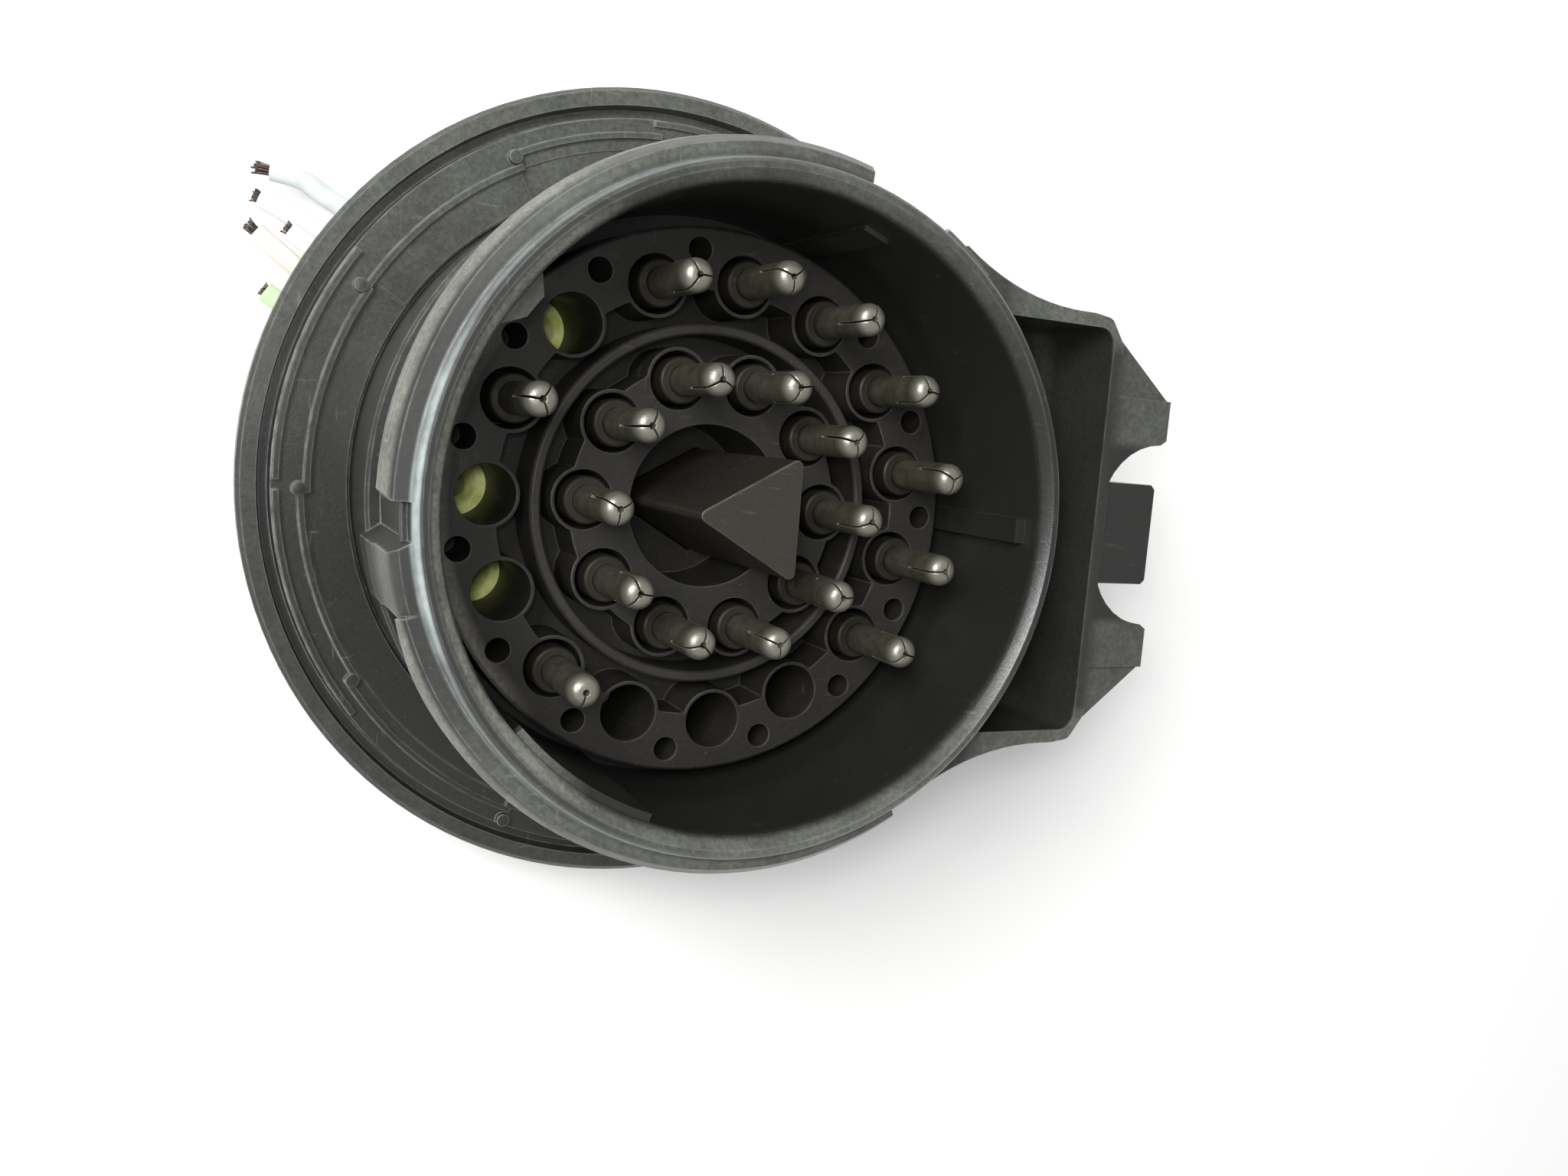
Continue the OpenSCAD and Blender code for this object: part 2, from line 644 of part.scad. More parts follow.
// Contacts
module contact(k) {
    foot_top = face_z + pin_collar_up;
    edge = 0.15;
    color("#8e8a78") translate(pin_places[k]) difference() {
        rotate_extrude() polygon(concat(
            [[0, crimp_end], [crimp_r, crimp_end], [crimp_r, neck_bottom - pin_stop_t],
             [pin_stop_r, neck_bottom - pin_stop_t], [pin_stop_r, neck_bottom],
             [pin_collar_r, neck_bottom], [pin_collar_r, foot_top - edge],
             [pin_collar_r - edge, foot_top], [pin_r, foot_top]],
            [for (i = [0:5]) let (a = 18 * i)
                [0.35 + (pin_r - 0.35) * cos(a), tip_z - pin_round + pin_round * sin(a)]],
            [[0, tip_z]]));
        translate([0, 0, tip_z - slit_d]) {
            cylinder(r = tip_bore_r, h = slit_d + 1, $fn = 16);
            for (a = [0, 120, 240])
                rotate([0, 0, slit_turn * k + a]) translate([0, -slit_w / 2, 0])
                    cube([pin_r + 1, slit_w, slit_d + 1]);
        }
    }
}

// Wire seal
module rear_seal() {
    ribs = 3;
    groove = 0.5;
    rib_h = seal_t / (2 * ribs - 1);
    funnel = 1.2;
    color("#9aa061") difference() {
        rotate_extrude($fn = 96) polygon(concat(
            [[0, seal_back]],
            [for (i = [0:ribs - 1]) for (p = [[0, 0], [0, 1], [1, 1], [1, 2]])
                if (i < ribs - 1 || p[0] == 0)
                    [shoulder_r - groove * p[0], seal_back + rib_h * (2 * i + p[1])]],
            [[0, carrier_back]]));
        for (c = cavities) translate(c) {
            translate([0, 0, seal_back - 1]) cylinder(r = seal_hole_r, h = seal_t + 2, $fn = 24);
            translate([0, 0, carrier_back - funnel])
                cylinder(r1 = seal_hole_r, r2 = seal_hole_r + 0.7, h = funnel + 0.01, $fn = 24);
        }
    }
}

module seal_retainer() {
    plate_r = rear_bore_r - 2 * fit;
    tab_z = retainer_back + 2 * fit;
    hub_r = 4;
    color("#3c3b36") difference() {
        union() {
            translate([0, 0, retainer_back]) cylinder(r = plate_r, h = retainer_t, $fn = 96);
            translate([0, 0, retainer_back - 1]) cylinder(r = hub_r, h = 2, $fn = 48);
            for (k = [0:3])
                rotate([0, 0, outlet_angle + 45 + 90 * k])
                    translate([plate_r - 1.5, -tab_w / 2, tab_z])
                        cube([1.5 + tab_reach, tab_w, retainer_t - 4 * fit]);
        }
        for (c = cavities) translate([c[0], c[1], retainer_back - 1])
            cylinder(r = retainer_hole_r, h = retainer_t + 2, $fn = 24);
    }
}

// Wires
wire_sides = 8;

function long_path(i) = let (c = pin_places[long_wires[i]])
    concat([[c[0], c[1], crimp_end], [c[0], c[1], retainer_back - 0.6]], routes[i]);

// One closed tube swept along the points of a path, all near one upright plane
module swept_tube(path) {
    n = len(path);
    last = path[n - 1] - path[0];
    side = unit([-last[1], last[0], 0]);
    rings = [for (i = [0:n - 1])
        let (t = unit(path[min(i + 1, n - 1)] - path[max(i - 1, 0)]),
             u = unit(side - (side * t) * t),
             v = cross(t, u))
        for (j = [0:wire_sides - 1]) let (a = 360 * j / wire_sides)
            path[i] + wire_r * (cos(a) * u + sin(a) * v)];
    function at(i, j) = i * wire_sides + j % wire_sides;
    walls = [for (i = [0:n - 2]) for (j = [0:wire_sides - 1])
        [at(i, j), at(i + 1, j), at(i + 1, j + 1), at(i, j + 1)]];
    start_cap = [for (j = [0:wire_sides - 1]) at(0, j)];
    end_cap = [for (j = [0:wire_sides - 1]) at(n - 1, wire_sides - 1 - j)];
    polyhedron(points = rings, faces = concat([start_cap], walls, [end_cap]));
}

module long_wire(i) {
    color("#d8d6cc") swept_tube(long_path(i));
}

module short_wire(i) {
    c = pin_places[short_wires[i]];
    cut_z = retainer_back - 3 - 2 * abs(sin(77 * i));
    color("#b9b4a6") translate([c[0], c[1], cut_z]) cylinder(r = wire_r, h = crimp_end - cut_z, $fn = 24);
}

housing();
rear_shell();
contact_carrier();
key_post();
lock_ring();
rear_seal();
seal_retainer();
contact(0);  // pin_01
contact(1);  // pin_02
contact(2);  // pin_03
contact(3);  // pin_04
contact(4);  // pin_05
contact(5);  // pin_06
contact(6);  // pin_07
contact(7);  // pin_08
contact(8);  // pin_09
contact(9);  // pin_10
contact(10);  // pin_11
contact(11);  // pin_12
contact(12);  // pin_13
contact(13);  // pin_14
contact(14);  // pin_15
contact(15);  // pin_16
contact(16);  // pin_17
contact(17);  // pin_18
contact(18);  // pin_19
long_wire(0);  // wire_01
long_wire(1);  // wire_02
long_wire(2);  // wire_03
long_wire(3);  // wire_04
long_wire(4);  // wire_05
long_wire(5);  // wire_06
short_wire(0);  // wire_07
short_wire(1);  // wire_08
short_wire(2);  // wire_09
short_wire(3);  // wire_10
short_wire(4);  // wire_11
short_wire(5);  // wire_12
short_wire(6);  // wire_13
short_wire(7);  // wire_14
short_wire(8);  // wire_15
short_wire(9);  // wire_16
short_wire(10);  // wire_17
short_wire(11);  // wire_18
short_wire(12);  // wire_19
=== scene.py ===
"""Looks of the diagnostic adapter connector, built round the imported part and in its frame.

Blender's own lengths are metres. Sizes of the part, the places in its dust and wear, and the
routes of its wires are in millimetres.
"""
import math
import random

import bmesh
import bpy
from mathutils import Matrix, Vector


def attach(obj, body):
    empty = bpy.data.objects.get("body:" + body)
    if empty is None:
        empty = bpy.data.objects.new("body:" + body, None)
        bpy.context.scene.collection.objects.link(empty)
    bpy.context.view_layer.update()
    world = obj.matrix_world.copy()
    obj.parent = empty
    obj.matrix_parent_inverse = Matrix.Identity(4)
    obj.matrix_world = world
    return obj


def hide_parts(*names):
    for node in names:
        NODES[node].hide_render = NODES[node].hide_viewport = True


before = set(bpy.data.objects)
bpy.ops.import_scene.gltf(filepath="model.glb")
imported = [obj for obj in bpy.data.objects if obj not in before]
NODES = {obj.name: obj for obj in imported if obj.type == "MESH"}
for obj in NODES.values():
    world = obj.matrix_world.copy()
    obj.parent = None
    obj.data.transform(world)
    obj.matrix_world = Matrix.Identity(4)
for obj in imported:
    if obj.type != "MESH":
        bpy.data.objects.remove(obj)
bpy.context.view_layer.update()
MM = 0.001

# Barrel, rim and flange, as part.scad has them
TOTAL_H = 45.5
BARREL_R = 25
SHROUD_IN_R = 23.2
LEAD_R = 24.1
LIP_R = 24.55
STOP_R = 26.5
RAMP_TOP = 44.2
TRACK_Z = 31
FLANGE_STEP_R = 29.2
BAND_IN_R = 32.8

# Side bracket
BRACKET_X = 33.5
BRACKET_TOP = 40.5
PRONG_IN_Y = 7.8

# Contact carrier and contacts
CARRIER_R = 21.8
FACE_Z = 32.2
FOOT_TOP = 33.2
TIP_Z = 41.2
CRIMP_END = 21.1
OUTER_ROW_R, INNER_ROW_R = 17.7, 10.2
OUTER_N, INNER_N = 15, 10
FIRST_ANGLE = 108
PIN_COUNT = 19

# Wires, and the bare strands at their cut ends: rings of so many strands at such a radius
SEAL_MID, RETAINER_UNDER = 16, 10.4
WIRE_R = 0.9
ROUTE_POINTS, STEPS_A_SPAN = 34, 24
STRAND_RINGS = ((0.0, 1), (0.2, 6), (0.39, 12))
STRAND_R, STRAND_SIDES, STRAND_SPANS = 0.095, 6, 3
STRAND_INSIDE, STRAND_STRAY = 0.5, 0.06

# Camera, at the photograph's viewing angle
LENS, SENSOR = 28.89, 36
CAMERA_PLACE = (-0.03858, 0.00585, 0.12572)
CAMERA_TURN = ((0.89839, -0.02115, -0.43869),
               (0.08063, 0.98981, 0.11741),
               (0.43174, -0.14085, 0.89093))

# Light and floor: place, aim, size, watts and whether gloss shows the lamp
SKY_COLOUR, SKY_STRENGTH = (0.97, 0.985, 1), 0.45
LAMPS = {"window": ((-0.325, 0.18, 0.465), (0, 0, 0.02), (0.26, 0.22), 3.4, True),
         "lamp": ((-0.0412, 0.0108, 0.1243), (0, 0, 0.03), (0.01, 0.01), 0.028, False),
         "glint": ((-0.0412, 0.0108, 0.1253), (0, 0, 0.03), (0.008, 0.008), 0.01, True)}
FLOOR_HALF, FLOOR_DROP = 2, 0.00002
SHADOW_CENTRE = (33.5, -21)
GLOW_START, GLOW_END, GLOW = 28, 80, 0.24

# Plastic: the side whose edges get a painted highlight over their wear, how strong both are, how
# deep its grain is, and the colour of the painted rim highlight
LIT_SIDE = (-0.9, 0.43, 0)
EDGE_R, EDGE_WEAR_AND_HIGHLIGHT = 0.25, 0.75
GRAIN = 0.012
PAINTED_RIM_HIGHLIGHT = (0.36, 0.4, 0.4)

# Rounding of the edges
CREASE, SHARP, FLAT = math.radians(28), math.radians(30), math.radians(0.5)
PIN_EDGE = 0.05


def on_row(radius, count, k):
    a = math.radians(FIRST_ANGLE - 360 / count * k)
    return radius * math.cos(a), radius * math.sin(a)


def outer_place(k):
    return on_row(OUTER_ROW_R, OUTER_N, k)


def inner_place(k):
    return on_row(INNER_ROW_R, INNER_N, k)


def link_object(obj):
    bpy.context.scene.collection.objects.link(obj)
    return obj


def make_camera():
    data = bpy.data.cameras.new("camera")
    data.lens, data.sensor_width = LENS, SENSOR
    data.clip_start, data.clip_end = 0.01, 10
    cam = link_object(bpy.data.objects.new("camera", data))
    cam.matrix_world = Matrix.Translation(CAMERA_PLACE) @ Matrix(CAMERA_TURN).to_4x4()
    bpy.context.scene.camera = cam


make_camera()


# Shader helpers
def add(tree, kind, **settings):
    """A new node, with each setting put on the input of that name, or else on the node."""
    node = tree.nodes.new(kind)
    for key, value in settings.items():
        if key in node.inputs:
            node.inputs[key].default_value = value
        else:
            setattr(node, key, value)
    return node


def feed(socket, value):
    """Link an input to a field, or set it to a number or a colour."""
    if isinstance(value, Field):
        value.tree.links.new(value.socket, socket)
    elif isinstance(value, tuple):
        socket.default_value = (*value, 1)
    else:
        socket.default_value = value


class Field:
    """A number or a colour that varies over a surface; its operators add the shader's nodes."""

    def __init__(self, tree, socket):
        self.tree, self.socket = tree, socket

    def maths(self, operation, other=0.0):
        node = add(self.tree, "ShaderNodeMath", operation=operation)
        feed(node.inputs[0], self)
        feed(node.inputs[1], other)
        return Field(self.tree, node.outputs["Value"])

    def __mul__(self, other):
        return self.maths("MULTIPLY", other)

    def __add__(self, other):
        return self.maths("ADD", other)

    def __abs__(self):
        return self.maths("ABSOLUTE")

    def greatest(self, other):
        return self.maths("MAXIMUM", other)

    def rise(self, low, high, out_low=0.0, out_high=1.0):
        """From out_low to out_high, while the field goes from low to high; flat outside that."""
        node = add(self.tree, "ShaderNodeMapRange", clamp=True,
                   **{"From Min": low, "From Max": high, "To Min": out_low, "To Max": out_high})
        feed(node.inputs["Value"], self)
        return Field(self.tree, node.outputs["Result"])


# A Mix node's sockets for colours share their names with others, so they go by their places
MIX_SHARE, MIX_A, MIX_B, MIX_RESULT = 0, 6, 7, 2


class Look:
    """A new material, with the fields that its colour, roughness and bump are made of."""

    def __init__(self, name, **values):
        self.mat = bpy.data.materials.new(name)
        self.mat.use_nodes = True
        self.tree = self.mat.node_tree
        self.shader = self.tree.nodes["Principled BSDF"]
        self.where = Field(self.tree, add(self.tree, "ShaderNodeTexCoord").outputs["Object"])
        self.set(**values)

    def set(self, **values):
        """Put numbers, colours or fields on the shader's inputs of those names."""
        for name, value in values.items():
            feed(self.shader.inputs[name.replace("_", " ")], value)

    def noise(self, scale, detail=3.0, rough=0.5, stretch=None):
        where = self.where
        if stretch:
            mapping = add(self.tree, "ShaderNodeMapping", Scale=stretch)
            feed(mapping.inputs["Vector"], where)
            where = Field(self.tree, mapping.outputs["Vector"])
        node = add(self.tree, "ShaderNodeTexNoise", Scale=scale, Detail=detail, Roughness=rough)
        feed(node.inputs["Vector"], where)
        return Field(self.tree, node.outputs["Fac"])

    def places(self, centre=(0, 0)):
        """X, Y, Z and the distance from an upright axis through centre, in millimetres."""
        mapping = add(self.tree, "ShaderNodeMapping", Scale=(1 / MM,) * 3,
                      Location=(-centre[0], -centre[1], 0))
        feed(mapping.inputs["Vector"], self.where)
        split = add(self.tree, "ShaderNodeSeparateXYZ")
        self.tree.links.new(mapping.outputs["Vector"], split.inputs["Vector"])
        x, y, z = (Field(self.tree, split.outputs[k]) for k in "XYZ")
        return x, y, z, (x * x + y * y).maths("SQRT")

    def mix(self, share, a, b):
        """Colour a where share is 0 and colour b where it is 1."""
        node = add(self.tree, "ShaderNodeMix", data_type="RGBA")
        for index, value in ((MIX_SHARE, share), (MIX_A, a), (MIX_B, b)):
            feed(node.inputs[index], value)
        return Field(self.tree, node.outputs[MIX_RESULT])

    def edges(self, radius, lit=None):
        """1 on sharp edges and 0 on flat faces, and less on edges that face away from lit."""
        bevel = add(self.tree, "ShaderNodeBevel", samples=6, Radius=radius * MM)
        plain = add(self.tree, "ShaderNodeNewGeometry")
        turn = add(self.tree, "ShaderNodeVectorMath", operation="DOT_PRODUCT")
        self.tree.links.new(bevel.outputs["Normal"], turn.inputs[0])
        self.tree.links.new(plain.outputs["Normal"], turn.inputs[1])
        mask = Field(self.tree, turn.outputs["Value"]).rise(0.995, 0.9)
        if lit is None:
            return mask
        side = add(self.tree, "ShaderNodeVectorMath", operation="DOT_PRODUCT")
        self.tree.links.new(bevel.outputs["Normal"], side.inputs[0])
        side.inputs[1].default_value = lit
        return mask * Field(self.tree, side.outputs["Value"]).rise(0.1, 0.4, 0.3, 1)

    def bump(self, height, depth):
        node = add(self.tree, "ShaderNodeBump", Strength=1.0, Distance=depth * MM)
        feed(node.inputs["Height"], height)
        self.tree.links.new(node.outputs["Normal"], self.shader.inputs["Normal"])


# Dust and painted light: each function gives the shares of dust (with painted light and shade on
# the housing), of specks, scuffs and edge wear with its painted edge highlight, of a painted rim
# highlight and of a rougher surface; the last three are EVEN where they don't vary
EVEN = (1.0, None, None)


def housing_dust_and_light(look):
    """Most dust on the flange's band, the prongs and the rim, and none in the shroud; painted light
    and shade on the rim and ramps on the left.
    """
    x, y, z, r = look.places()
    side = abs(y)
    outside = r.rise(SHROUD_IN_R - 0.1, SHROUD_IN_R + 0.4)
    below_track = z.rise(TRACK_Z + 2, TRACK_Z)
    near_rim = z.rise(RAMP_TOP - 0.4, RAMP_TOP + 0.4)
    on_top = z.rise(TOTAL_H - 1.5, TOTAL_H - 1)
    left = x.rise(-12, -16)

    band = r.rise(BAND_IN_R - 0.4, BAND_IN_R + 0.2) * below_track * 0.08
    step = r.rise(FLANGE_STEP_R - 0.4, FLANGE_STEP_R + 0.4) * below_track * 0.02
    shelf = y.rise(2, 24) * below_track * 0.25
    prongs = (x.rise(BRACKET_X - 0.7, BRACKET_X + 1) * side.rise(PRONG_IN_Y - 0.6, PRONG_IN_Y + 0.2)
              * z.rise(BRACKET_TOP - 2.5, BRACKET_TOP - 1) * 0.22)
    rim = side.rise(11, 23) * near_rim * 0.25
    low_rim = y.rise(-4, -20) * near_rim * 0.14
    ramps = (r.rise(BARREL_R + 0.1, BARREL_R + 0.6) * z.rise(RAMP_TOP - 6.2, RAMP_TOP - 3.2)
             * abs(x).rise(24, 17) * 0.24)
    ledge = (x.rise(21, 23) * z.rise(BRACKET_TOP - 0.3, BRACKET_TOP - 0.1) * side.rise(15, 16.5)
             * z.rise(BRACKET_TOP + 2, BRACKET_TOP + 1.5) * 0.3)
    pocket = x.rise(BARREL_R + 0.5, BARREL_R + 1.5) * x.rise(BRACKET_X, BRACKET_X - 1) * 0.045
    share = band + step + shelf + prongs + rim + low_rim + ramps + ledge + pocket + 0.015

    # Painted shade: the rim's flat top on the left keeps less dust, so it reads darker, and is made
    # rougher
    painted_rim_top_shade = (r.rise(LEAD_R - 0.05, LEAD_R + 0.15) * r.rise(LIP_R + 0.15, LIP_R - 0.05) * on_top
              * x.rise(0, -12))
    share = share * outside * painted_rim_top_shade.rise(0, 1, 1, 0.25)
    # Painted light: on the left, the rim's inner edge, the slope inside it, the top of the shroud's
    # inner wall and the ramps' outer slope get a paler share where the window lights them
    lip = r.rise(LEAD_R + 0.2, LEAD_R - 0.1, 0, 0.1) * on_top * left
    lead = r.rise(LEAD_R, LEAD_R - 0.3) * on_top * left * 0.6
    guides = (r.rise(SHROUD_IN_R, SHROUD_IN_R - 0.1) * z.rise(TOTAL_H - 2.4, TOTAL_H - 2.2)
              * left * 0.2)
    chamfer = r.rise(STOP_R - 0.3, STOP_R) * z.rise(TRACK_Z + 5, TRACK_Z + 7) * left * 0.6

    wear = outside * x.rise(24, 20, 0.3, 1)
    # Painted highlight: a pale line along the rim's outer rounding on the left, where the lamps
    # glint
    line = r.rise(LIP_R + 0.15, LIP_R + 0.35) * x.rise(0, -8, 0, 0.45)
    wide_line = r.rise(LIP_R + 0.05, LIP_R + 0.2) * x.rise(-21, -24)
    painted_rim_highlight = line.greatest(wide_line) * r.rise(BARREL_R + 0.25, BARREL_R + 0.1) * on_top
    barrel = r.rise(BARREL_R + 0.1, BARREL_R + 0.2) * z.rise(TRACK_Z + 2, TRACK_Z + 3) * left
    return share + lip + lead + guides + chamfer, wear, painted_rim_highlight, barrel.greatest(painted_rim_top_shade)


def carrier_dust(look):
    """A strip of dust along the left edge of the carrier's face and hardly any elsewhere."""
    x, _, z, r = look.places()
    strip = (r.rise(CARRIER_R - 1.5, CARRIER_R - 0.5) * x.rise(-13, -18)
             * z.rise(FACE_Z - 1.2, FACE_Z - 0.2) * 0.65)
    return strip + 0.03, *EVEN


def key_dust(_):
    return 0.02, *EVEN


def thin_dust(look):
    return look.noise(90, 2).rise(0.3, 0.7, 0.02, 0.06), *EVEN


# Materials: colours are linear red, green and blue
def plastic(name, dark, dusty_and_lit, worn_and_lit, dust=thin_dust, rough=0.32, shine=0.5):
    """Moulded plastic: patchy dust, specks, short scuffs, paler edges with a painted highlight on
    those facing LIT_SIDE, a painted rim highlight where given, and a fine grain.
    """
    look = Look(name, IOR=1.5, Specular_IOR_Level=shine)
    share, wear, painted_rim_highlight, matt = dust(look)
    patches = look.noise(240, 4, 0.6).rise(0.32, 0.7, 0.7, 1.25)
    fine = look.noise(2600, 3, 0.7).rise(0.36, 0.7, 0.7, 1.35)
    colour = look.mix(patches * fine * share, dark, dusty_and_lit)
    specks = look.noise(3600, 2, 0.6).rise(0.68, 0.76, 0, 0.22)
    colour = look.mix(specks * wear, colour, dusty_and_lit)

    scuffed = look.noise(160, 2).rise(0.48, 0.62)
    scuffs = look.noise(2600, 2, stretch=(1, 0.1, 0.3)).rise(0.66, 0.74)
    cross_scuffs = look.noise(2400, 2, stretch=(0.12, 1, 0.3)).rise(0.66, 0.74)
    colour = look.mix(scuffs.greatest(cross_scuffs) * scuffed * wear * 0.18, colour, worn_and_lit)

    rubbed = look.noise(600, 3, 0.6).rise(0.34, 0.6, 0.3, 1.0)
    # Edge wear, plus a painted highlight on the edges that face LIT_SIDE, the side the window
    # lights
    colour = look.mix(look.edges(EDGE_R, LIT_SIDE) * rubbed * wear * EDGE_WEAR_AND_HIGHLIGHT, colour, worn_and_lit)
    # Painted highlight along the rim's outer edge
    if painted_rim_highlight:
        colour = look.mix(painted_rim_highlight * rubbed.rise(0, 1, 0.45, 0.95), colour, PAINTED_RIM_HIGHLIGHT)
    dull = fine.rise(0.5, 1.5, rough - 0.04, rough + 0.08)
    if matt:
        dull = dull + matt * 0.3
    look.set(Base_Color=colour, Roughness=dull)
    look.bump(look.noise(4200, 2, 0.6) + look.noise(420, 3) * 1.2, GRAIN)
    return look.mat


def contact_metal():
    """Tinned brass gone dull and brown, darker at the foot and brighter on the rounded tip."""
    look = Look("contact_metal", Metallic=0.75)
    z = look.places()[2]
    tip = z.rise(TIP_Z - 1.4, TIP_Z - 0.6)
    foot = z.rise(FOOT_TOP + 1, FOOT_TOP + 0.2)
    blotch = look.noise(900, 4, 0.6).rise(0.35, 0.68)
    fine = look.noise(4200, 2, 0.6).rise(0.45, 0.7)
    colour = look.mix(blotch, (0.092, 0.088, 0.062), (0.19, 0.183, 0.135))
    colour = look.mix(fine * 0.4, colour, (0.1, 0.085, 0.062))
    colour = look.mix(tip * 0.6, colour, (0.4, 0.385, 0.33))
    colour = look.mix(foot * 0.92, colour, (0.035, 0.031, 0.024))
    bare = look.edges(0.08) * foot.rise(0, 1, 0.45, 0.08)
    colour = look.mix(bare, colour, (0.75, 0.73, 0.66))
    dull = blotch.rise(0, 1, 0.06, -0.04) + tip.rise(0, 1, 0.52, 0.4)
    look.set(Base_Color=colour, Roughness=dull)
    turned = look.noise(2500, 2, stretch=(0.1, 0.1, 1.6))
    worn_tip = look.noise(1700, 3, 0.6) * tip * 4
    look.bump(turned + fine * 0.5 + worn_tip, 0.008)
    return look.mat


def rubber():
    look = Look("seal_rubber", IOR=1.45)
    cloud = look.noise(600, 4, 0.6).rise(0.36, 0.62)
    look.set(Base_Color=look.mix(cloud, (0.52, 0.6, 0.16), (0.84, 0.88, 0.36)),
             Roughness=cloud.rise(0, 1, 0.45, 0.65))
    look.bump(look.noise(2500, 3, 0.6), 0.02)
    return look.mat


def insulation(name, colour, shade):
    """Wire insulation with handling marks and a faint gloss."""
    look = Look(name, IOR=1.48)
    smudge = look.noise(420, 4, 0.6).rise(0.5, 0.78, 0.0, 0.7)
    look.set(Base_Color=look.mix(smudge, colour, shade), Roughness=smudge.rise(0, 1, 0.35, 0.5))
    look.bump(look.noise(1800, 2), 0.01)
    return look.mat


def copper():
    look = Look("wire_copper", Metallic=1.0)
    dull = look.noise(1500, 3, 0.6).rise(0.35, 0.7)
    look.set(Base_Color=look.mix(dull, (0.17, 0.13, 0.1), (0.08, 0.085, 0.085)),
             Roughness=dull.rise(0, 1, 0.35, 0.6))
    return look.mat


HOUSING = plastic("housing_plastic", dark=(0.0165, 0.017, 0.0152), dusty_and_lit=(0.226, 0.235, 0.203),
                  worn_and_lit=(0.3, 0.315, 0.29), dust=housing_dust_and_light)
CARRIER = plastic("carrier_plastic", dark=(0.0125, 0.0115, 0.0105), dusty_and_lit=(0.2, 0.19, 0.155),
                  worn_and_lit=(0.12, 0.115, 0.1), dust=carrier_dust, rough=0.48, shine=0.4)
LOCK = plastic("lock_plastic", dark=(0.018, 0.0165, 0.015), dusty_and_lit=(0.2, 0.19, 0.16),
               worn_and_lit=(0.13, 0.125, 0.11), rough=0.46, shine=0.4)
KEY = plastic("key_plastic", dark=(0.021, 0.0185, 0.0145), dusty_and_lit=(0.2, 0.185, 0.14),
              worn_and_lit=(0.2, 0.17, 0.12), dust=key_dust, rough=0.4)
RETAINER = plastic("retainer_plastic", dark=(0.018, 0.018, 0.017), dusty_and_lit=(0.16, 0.16, 0.14),
                   worn_and_lit=(0.16, 0.16, 0.14))
SEAL = rubber()
METAL = contact_metal()
COPPER = copper()
INSULATION = {
    "wire_white": insulation("wire_white", (0.95, 0.95, 0.93), (0.84, 0.84, 0.8)),
    "wire_blue": insulation("wire_blue", (0.72, 0.77, 0.77), (0.5, 0.55, 0.56)),
    "wire_brown": insulation("wire_brown", (0.88, 0.83, 0.77), (0.7, 0.62, 0.55)),
    "wire_green": insulation("wire_green", (0.62, 0.88, 0.5), (0.5, 0.72, 0.4))}


# Wires: name, cavity, colour, how far the bare strands reach, and the route from under the
# retainer to the cut end beside the flange
WIRES = [
    ("wire_01", outer_place(0), "wire_blue", 1.6,
     [(-6, 17, 7.8), (-7.6, 17.5, 6.1), (-9.8, 18.2, 5.4), (-14, 19.5, 5.2), (-18.4, 20.6, 4.9),
      (-22.4, 21.8, 4.6), (-26, 23.3, 4.3), (-29, 25, 3.9), (-31.4, 25.4, 3.4)]),
    ("wire_02", inner_place(0), "wire_white", 0.7,
     [(-3.7, 9.9, 7.8), (-5.2, 10.6, 6.1), (-7.2, 11.6, 5.4), (-12, 13.8, 5.2), (-17, 16.1, 5),
      (-22, 18.4, 4.6), (-27.2, 20.8, 4), (-32.2, 23, 3.2)]),
    ("wire_03", inner_place(9), "wire_white", 0.5,
     [(-8.7, 6.3, 8.2), (-10, 7.2, 6.9), (-12, 8.5, 6.3), (-16.5, 11.4, 6.2), (-21, 14.3, 6.3),
      (-25.5, 17.3, 6.4), (-30, 20.2, 6.5)]),
    ("wire_04", outer_place(13), "wire_brown", 1.1,
     [(-16.6, 7.6, 7.8), (-17.9, 8.6, 6.1), (-19.7, 10, 5.1), (-23, 12.6, 4.5), (-26.2, 15.1, 4.2),
      (-29.4, 17.6, 4), (-32.5, 20, 3.8)]),
    ("wire_05", inner_place(8), "wire_green", 0.4,
     [(-10.7, 0.3, 7.8), (-12, 1.3, 6.1), (-13.9, 2.6, 5.4), (-18, 5.5, 5.2), (-22.5, 8.6, 4.8),
      (-27, 11.8, 4.4), (-31.6, 15, 4)]),
    ("wire_06", inner_place(7), "wire_white", 0.5,
     [(-8.7, -5.6, 7.8), (-10, -4.6, 6.1), (-11.8, -3.2, 5.3), (-16, 0, 5.1), (-21, 3.9, 4.7),
      (-26, 7.7, 4.2), (-30.5, 11.2, 3.8)])]


def rounded_line(points):
    """Close points along a curve through the given ones, which has no loops or cusps."""
    p = [Vector(q) for q in points]
    p = [2 * p[0] - p[1]] + p + [2 * p[-1] - p[-2]]
    fine = []
    for i in range(1, len(p) - 2):
        knots = [0.0]
        for j in range(3):
            knots.append(knots[-1] + max((p[i + j] - p[i + j - 1]).length, 1e-6) ** 0.5)
        for s in range(STEPS_A_SPAN):
            t = knots[1] + (knots[2] - knots[1]) * s / STEPS_A_SPAN
            a = [((knots[j + 1] - t) * p[i - 1 + j] + (t - knots[j]) * p[i + j])
                 / (knots[j + 1] - knots[j]) for j in range(3)]
            b = [((knots[j + 2] - t) * a[j] + (t - knots[j]) * a[j + 1])
                 / (knots[j + 2] - knots[j]) for j in range(2)]
            fine.append(((knots[2] - t) * b[0] + (t - knots[1]) * b[1]) / (knots[2] - knots[1]))
    fine.append(p[-2])
    return fine


